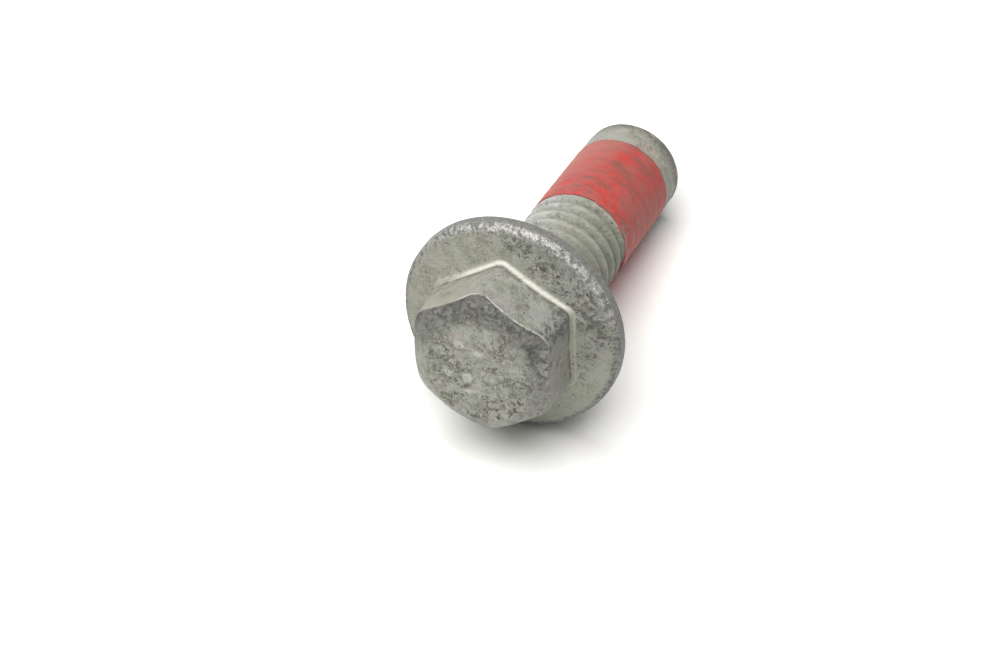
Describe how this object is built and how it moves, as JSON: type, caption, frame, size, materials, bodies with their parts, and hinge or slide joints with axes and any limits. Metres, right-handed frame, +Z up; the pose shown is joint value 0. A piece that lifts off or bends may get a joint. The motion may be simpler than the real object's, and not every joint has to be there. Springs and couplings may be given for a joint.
{
  "type": "flange bolt",
  "caption": "Hexagon flange bolt with a right-hand M10 thread, a conical flange in place of a washer and a red thread-locking patch.",
  "frame": {"origin": "on the ground below the middle of the bolt's box, as it lies on the rim of its flange and the edge of its point", "axes": "+Z up; the bolt's axis lies in the YZ plane with the head towards -Y and the point towards +Y, 11.07 degrees lower at the point"},
  "size_m": [0.0208, 0.0382, 0.0206],
  "materials": {
    "zinc_flake_steel": "matte silvery grey zinc flake coat over forged and rolled steel, mottled, with dark specks and worn edges",
    "thread_lock_red": "dried red thread-locking compound, matte, blotchy, worn thin in spots"
  },
  "bodies": {
    "root": {"bolt": "zinc_flake_steel", "thread_lock_patch": "thread_lock_red"}
  },
  "joints": []
}
